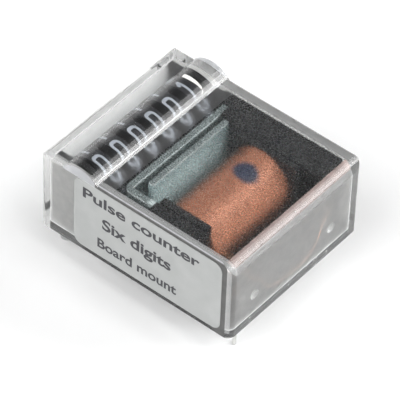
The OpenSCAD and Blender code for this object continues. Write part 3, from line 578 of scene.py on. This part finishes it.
def cover_solid():
    """Rounded block with a lens on top, hollow from below, with two pips inside its end wall."""
    side_view = round_top(BODY_L, BODY_H, EDGE_R, COIL_EDGE_R)
    end_view = round_top(BODY_W, BODY_H, RIM_R, RIM_R)
    plan = round_rect(BODY_L, BODY_W, CORNER_R)
    inner_view = round_top(2 * IN_X, IN_Z, INNER_R, COIL_INNER_R, foot=-CUT_PAST)
    inner_plan = round_rect(2 * IN_X, 2 * IN_Y, INNER_R)
    body = prism("cover_clear", side_view, -BODY_W / 2, BODY_W / 2, across)
    cavity = prism("cavity", inner_view, -IN_Y, IN_Y, across)
    combine(cavity, [("INTERSECT", prism("cavity_plan", inner_plan, -2 * CUT_PAST, BODY_H, upward))])
    combine(body, [
        ("INTERSECT", prism("plan", plan, -CUT_PAST, BODY_H + CUT_PAST, upward)),
        ("INTERSECT", prism("rim", end_view, -BODY_L, BODY_L, along)),
        ("UNION", prism("lens", lens_outline(), -BODY_W / 2, BODY_W / 2, across)),
        ("DIFFERENCE", cavity),
    ])
    for side in (-1, 1):
        centre = (IN_X + PIP_R - PIP_DEPTH, side * PIP_Y, PIP_Z)
        combine(body, [("UNION", sphere("pip", centre, PIP_R))])
    return body


def cut_faces(mesh):
    """Edges where the finish of the cover changes."""
    x_planes = [((x, 0, 0), (1, 0, 0)) for x in (WINDOW_X0, WINDOW_X1, YOKE_X)]
    y_planes = [((0, -IN_Y, 0), (0, 1, 0))]
    line_planes = [((x, 0, 0), (1, 0, 0)) for x in (LINE_X0, LINE_X1, UNDER_X)]
    z_planes = [((0, 0, z), (0, 0, 1)) for z in (UNDER_Z, SEAM, SKIRT)]
    edit = bmesh.new()
    edit.from_mesh(mesh)
    for point, normal in x_planes + y_planes + line_planes + z_planes:
        everything = edit.verts[:] + edit.edges[:] + edit.faces[:]
        bmesh.ops.bisect_plane(edit, geom=everything, plane_co=point, plane_no=normal, dist=1e-4)
    edit.to_mesh(mesh)
    edit.free()


def on_pip(c, normal):
    """True on the round of a snap pip."""
    if c.x <= IN_X - PIP_DEPTH - PIP_SLACK or abs(normal.x) >= END_ON:
        return False
    return any(math.dist((c.y, c.z), (side * PIP_Y, PIP_Z)) < PIP_R for side in (-1, 1))


def inner_finish(c, normal):
    """Frost under the top and on the walls, but none under the lens, and a seam at the foot with a pale
    band above it. The frost's tones by place are painted light and shade, the pips are paler as painted
    highlights, and the rounded inner corner under the top at the +x end has a painted copper reflection.
    """
    if on_pip(c, normal):
        return pip_painted_highlight
    if normal.z < UNDERSIDE and not WINDOW_X0 < c.x < WINDOW_X1:
        return frost_strip if c.x < LENS_X else frost_soft if c.x < YOKE_X else frost_top
    if c.z < SEAM:
        return seam
    if c.z < SKIRT:
        return pale_wall
    if normal.z >= UPRIGHT:
        return pale_wall if normal.x > FACING else near_wall if normal.y > FACING else frost_wall
    return painted_copper_reflection if c.x > 0 and normal.z >= UNDERSIDE else clear


def outer_finish(c, normal):
    """Only the lens and the near side differ from the clear plastic: painted glare on the lens ends and in
    a highlight line over the label, a painted shade line over and beside the label, and painted light on
    the near rim and right of the label.
    """
    if c.z > BODY_H + LEVEL_SLACK:
        return lens_clear if normal.z > RISING else painted_glare
    if c.y >= -IN_Y:
        return clear
    by_label = LINE_X0 < c.x < LINE_X1 and (c.z > UNDER_Z or c.x > UNDER_X)
    if by_label and normal.y < LINE_LIGHT:
        return shaded if normal.y < LINE_DARK else painted_glare
    near_corner = c.x > LINE_X1 and c.z > SKIRT and normal.y < -FACING
    return rim_painted_light if normal.z > RISING or near_corner else clear


def is_inside(c):
    reach_x, reach_y, reach_z = (size + INSIDE_SLACK for size in (IN_X, IN_Y, IN_Z))
    return abs(c.x) < reach_x and abs(c.y) < reach_y and LEVEL_SLACK < c.z < reach_z


def make_cover():
    body = cover_solid()
    mesh = body.data
    cut_faces(mesh)
    mesh.materials.clear()
    for finish in COVER_FINISHES:
        mesh.materials.append(finish)
    for face in mesh.polygons:
        choose = inner_finish if is_inside(face.center) else outer_finish
        face.material_index = COVER_FINISHES.index(choose(face.center, face.normal))
        face.use_smooth = True
    mesh.set_sharp_from_angle(angle=SHARP_ANGLE)
    mesh.transform(Matrix.Scale(MM, 4))
    body.modifiers.new("normals", "WEIGHTED_NORMAL").keep_sharp = True
    return body


cover = make_cover()
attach(cover, "housing")
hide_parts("cover")


# Digits, drawn as strokes round the middle of a box one wide and 1.5 high
def line(*points, steps=8):
    """Straight lines through some points, in short steps."""
    path = [points[0]]
    for a, b in zip(points, points[1:]):
        for i in range(1, steps + 1):
            path.append((a[0] + (b[0] - a[0]) * i / steps, a[1] + (b[1] - a[1]) * i / steps))
    return path


def nought(corner_r=0.24, gap=0.05):
    """A tall ring with four round corners, clockwise from the top of its left side."""
    x, y = SIDE - corner_r, HEAD - corner_r
    top = arc(-x, y, corner_r, corner_r, 180, 90, 8) + arc(x, y, corner_r, corner_r, 90, 0, 8)
    foot = arc(x, -y, corner_r, corner_r, 0, -90, 8) + arc(-x, -y, corner_r, corner_r, -90, -180, 8)
    return top + line((SIDE, y - gap), (SIDE, gap - y)) + foot + line((-SIDE, gap - y), (-SIDE, y))


# Half the width and height of a digit, and the strokes of each from nought to nine
SIDE, HEAD = 0.36, 0.63
STROKES = (
    [nought()],
    [line((-0.28, 0.36), (0.06, HEAD), (0.06, -HEAD))],
    [arc(0, 0.26, SIDE, HEAD - 0.26, 165, -30) + line((0.30, 0.06), (-SIDE, -HEAD), (SIDE, -HEAD))],
    [arc(0, 0.31, SIDE - 0.04, HEAD - 0.31, 160, -90), arc(0, -0.30, SIDE, HEAD - 0.30, 90, -160)],
    [line((0.14, -HEAD), (0.14, HEAD), (-SIDE, -0.26), (SIDE, -0.26))],
    [
        line((SIDE - 0.05, HEAD), (-SIDE + 0.06, HEAD), (-SIDE + 0.02, 0.10))
        + arc(0, -0.20, SIDE, HEAD - 0.20, 130, -155)
    ],
    [arc(0, -0.24, SIDE, HEAD - 0.24, 0, 360), line((-SIDE, -0.2), (-0.28, 0.25), (0.16, HEAD))],
    [line((-SIDE, HEAD), (SIDE, HEAD), (-0.12, -HEAD))],
    [arc(0, 0.32, SIDE - 0.05, HEAD - 0.32, 0, 360), arc(0, -0.29, SIDE, HEAD - 0.29, 0, 360)],
    [arc(0, 0.24, SIDE, HEAD - 0.24, 0, 360), line((SIDE, 0.2), (0.28, -0.25), (-0.16, -HEAD))],
)


def pen_edges(path, width):
    """Left and right edge of a pen stroke, in pairs along its path."""
    pairs = []
    last = len(path) - 1
    closed = math.dist(path[0], path[-1]) < 1e-6
    for i, (x, y) in enumerate(path):
        before = path[i - 1] if i else path[-2 if closed else 0]
        after = path[i + 1] if i < last else path[1 if closed else -1]
        dx, dy = after[0] - before[0], after[1] - before[1]
        k = width / 2 / (math.hypot(dx, dy) or 1)
        pairs.append(((x - dy * k, y + dx * k), (x + dy * k, y - dx * k)))
    return pairs


def on_rim(u, v, y, turn, r):
    """Point of a drawing laid round the drum, in metres."""
    a = turn - v / r
    return ((DRUM_X + r * math.sin(a)) * MM, (y + u) * MM, (DRUM_Z + r * math.cos(a)) * MM)


def digit_ring(name, y, shown, lag=0.0):
    """All ten digits round a wheel, with the one that is shown on top."""
    verts, faces = [], []
    r = DRUM_R + PRINT_PROUD
    for digit, paths in enumerate(STROKES):
        turn = -DIGIT_STEP * (digit - shown) - lag
        for path in paths:
            faces += strip_faces(len(path) - 1, len(verts))
            for pair in pen_edges(path, PEN):
                verts += [on_rim(u * DIGIT_SIZE, v * DIGIT_SIZE, y, turn, r) for u, v in pair]
    o = mesh_object(name, verts, faces)
    o.data.materials.append(white)
    return o


for i, body in enumerate(WHEELS):
    y = WHEEL_PITCH * ((len(WHEELS) - 1) / 2 - i) + DIGIT_SHIFT
    shown, lag = (1, UNITS_LAG) if body == "units" else (0, 0.0)
    ring = digit_ring("digits_" + body, y, shown, lag)
    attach(ring, body)


# White index bar beside the units digits, narrower towards the top of the drum
def index_bar():
    verts = []
    r = DRUM_R - BAR_SINK + PRINT_PROUD
    for i in range(BAR_STEPS + 1):
        share = i / BAR_STEPS
        half = BAR_HALF - BAR_TAPER * share * share
        verts += [on_rim(u, 0, BAR_Y, -BAR_TURN + BAR_TURN * share, r) for u in (-half, half)]
    o = mesh_object("index_bar", verts, strip_faces(BAR_STEPS))
    o.data.materials.append(bar_white)
    return o


bar = index_bar()
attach(bar, "units")


# Return spring: a copy of the node's spring with its place baked in, shown instead of the node
def return_spring():
    source = nodes["return_spring"]
    o = bpy.data.objects.new("return_spring_wound", source.data.copy())
    scene.collection.objects.link(o)
    o.matrix_world = source.matrix_world
    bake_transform(o)
    return o


spring = return_spring()
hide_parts("return_spring")


# Words on the label
def label_line(name, words, across_x, across_z, bold):
    """Words stretched to a box on the face of the label."""
    text = bpy.data.curves.new(name, "FONT")
    text.body, text.size, text.offset, text.extrude = words, 1.0, bold, WORDS_DEPTH
    source = bpy.data.objects.new(name + "_curve", text)
    scene.collection.objects.link(source)
    graph = bpy.context.evaluated_depsgraph_get()
    mesh = bpy.data.meshes.new_from_object(source.evaluated_get(graph))
    bpy.data.objects.remove(source)
    o = bpy.data.objects.new(name, mesh)
    scene.collection.objects.link(o)
    xs, ys = [v.co.x for v in mesh.vertices], [v.co.y for v in mesh.vertices]
    left, foot = min(xs), min(ys)
    stretch_x = (across_x[1] - across_x[0]) / (max(xs) - left)
    stretch_z = (across_z[1] - across_z[0]) / (max(ys) - foot)
    for v in mesh.vertices:
        x = across_x[0] + (v.co.x - left) * stretch_x
        y = LABEL_LOW[1] - WORDS_PROUD + v.co.z
        z = across_z[0] + (v.co.y - foot) * stretch_z
        v.co = (x * MM, y * MM, z * MM)
    mesh.materials.clear()
    mesh.materials.append(ink)
    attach(o, "housing")


for words in WORDS:
    label_line(*words)

# Floor, at the lower end of the pins
floor_z = cad_low[2]
floor = mesh_object("floor", [
    (-FLOOR_HALF, -FLOOR_HALF, floor_z),
    (FLOOR_HALF, -FLOOR_HALF, floor_z),
    (FLOOR_HALF, FLOOR_HALF, floor_z),
    (-FLOOR_HALF, FLOOR_HALF, floor_z),
], [(0, 1, 2, 3)])
floor.data.materials.append(plain("floor_white", grey(0.93), grey(0.96), (0.8, 0.9), 3.0))

# Sky, bright at the sides and dark overhead
world = bpy.data.worlds.new("studio")
scene.world = world
world.use_nodes = True
sky = world.node_tree
ways = sky.nodes.new("ShaderNodeTexCoord")
height = sky.nodes.new("ShaderNodeSeparateXYZ")
sky.links.new(ways.outputs["Generated"], height.inputs["Vector"])
tones = ramp(sky, height.outputs["Z"], [(0.0, grey(0.85)), (0.34, grey(0.8)), (0.55, grey(0.05))])
sky.links.new(tones, sky.nodes["Background"].inputs["Color"])


# Lamps
def area(name, place, size, power):
    lamp = bpy.data.lights.new(name, "AREA")
    lamp.shape, lamp.size, lamp.size_y, lamp.energy = "RECTANGLE", size[0], size[1], power
    o = bpy.data.objects.new(name, lamp)
    scene.collection.objects.link(o)
    o.location = place
    o.rotation_mode = "QUATERNION"
    o.rotation_quaternion = (-Vector(place)).to_track_quat("-Z", "Y")


for lamp in LAMPS:
    area(*lamp)

# Camera
eye = bpy.data.cameras.new("eye")
eye.lens, eye.sensor_width = EYE_LENS, EYE_SENSOR
eye.clip_start, eye.clip_end = EYE_CLIP
cam = bpy.data.objects.new("eye", eye)
scene.collection.objects.link(cam)
back = Vector(EYE_BACK).normalized()
right = Vector(EYE_RIGHT).normalized()
right = (right - back * right.dot(back)).normalized()
up = back.cross(right)
turn = Matrix((right, up, back)).transposed().to_4x4()
cam.matrix_world = Matrix.Translation(EYE_PLACE) @ turn
scene.camera = cam
scene.view_settings.view_transform = "Standard"
